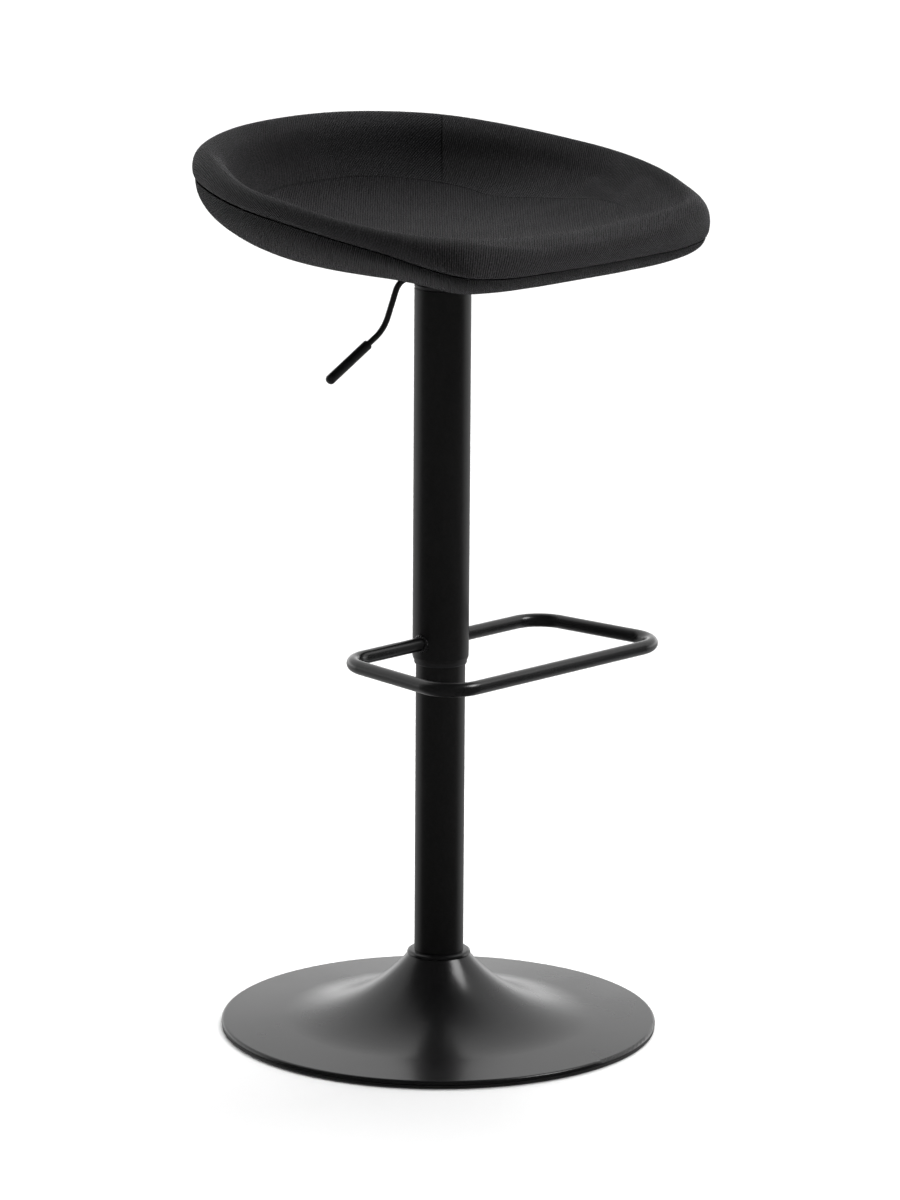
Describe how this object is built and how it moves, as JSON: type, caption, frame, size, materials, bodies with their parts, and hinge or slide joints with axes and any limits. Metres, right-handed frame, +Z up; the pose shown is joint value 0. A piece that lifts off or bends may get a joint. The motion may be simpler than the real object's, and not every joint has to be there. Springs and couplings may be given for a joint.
{
  "type": "bar stool",
  "caption": "Height-adjustable bar stool: padded bucket seat on a gas-lift column with a loop footrest, a release lever and a round trumpet base.",
  "frame": {"origin": "on the floor at the column's axis, at the centre of the base", "axes": "+Z up along the column, seat front towards -Y, release lever on the -X side"},
  "size_m": [0.4864, 0.4532, 0.9128],
  "materials": {
    "base_paint": "satin black powder coat",
    "column_paint": "semi-gloss black powder coat",
    "footrest_paint": "semi-gloss black powder coat",
    "floor_rubber": "matt black rubber",
    "black_plastic": "moulded black plastic",
    "grip_plastic": "moulded black plastic",
    "zinc_steel": "zinc plated",
    "rod_steel": "hard chrome",
    "tube_steel": "black lacquer",
    "ballast_iron": "bare iron",
    "black_steel": "black lacquer",
    "bump_rubber": "matt",
    "shell_plastic": "moulded polypropylene",
    "foam": "moulded polyurethane foam",
    "seat_fabric": "charcoal woven polyester",
    "under_fabric": "charcoal woven polyester"
  },
  "bodies": {
    "base": {"base_shell": "base_paint", "floor_ring": "floor_rubber", "base_collar": "base_paint", "base_hub": "black_steel", "bottom_plate": "black_steel", "ballast_disc": "ballast_iron", "base_screws": "zinc_steel", "stand_tube": "column_paint", "tube_foot_plate": "zinc_steel", "guide_bush": "black_plastic", "bearing_lower_race": "zinc_steel", "bearing_balls": "rod_steel", "bearing_cage": "black_plastic"},
    "spindle": {"bearing_upper_race": "zinc_steel", "piston_rod": "rod_steel", "rod_clip": "zinc_steel", "bump_stop": "bump_rubber", "piston": "black_plastic"},
    "seat": {"pressure_tube": "tube_steel", "rod_guide": "zinc_steel", "rod_seal": "bump_rubber", "inner_cylinder": "zinc_steel", "valve_body": "zinc_steel", "sleeve": "column_paint", "sleeve_bush": "black_plastic", "sleeve_cap": "black_plastic", "footrest": "footrest_paint", "footrest_welds": "footrest_paint", "taper_hub": "black_steel", "mechanism_channel": "black_steel", "lever_pivot_pin": "zinc_steel", "seat_plate": "black_steel", "seat_bolts": "zinc_steel", "seat_washers": "zinc_steel", "tee_nuts": "zinc_steel", "seat_foam": "foam", "top_cover": "seat_fabric", "under_cover": "under_fabric", "seat_shell": "shell_plastic"},
    "lever": {"release_lever": "black_steel", "lever_grip": "grip_plastic"},
    "pin": {"release_pin": "zinc_steel"}
  },
  "joints": [
    {"name": "swivel", "type": "hinge", "parent": "base", "child": "spindle", "pos_m": [0, 0, 0.02], "axis": [0, 0, 1], "continuous": true},
    {"name": "seat_lift", "type": "slide", "parent": "spindle", "child": "seat", "axis": [0, 0, 1], "range_m": [-0.215, 0]},
    {"name": "lever_pivot", "type": "hinge", "parent": "seat", "child": "lever", "pos_m": [-0.024, 0, 0.779], "axis": [0, 1, 0], "range_deg": [0, 10], "stiffness_Nm_per_rad": 1},
    {"name": "pin_press", "type": "slide", "parent": "seat", "child": "pin", "axis": [0, 0, -1], "range_m": [0, 0.0045]}
  ],
  "couplings": [
    {"joint": "pin_press", "follows": "lever_pivot", "m_per_rad": 0.025}
  ]
}
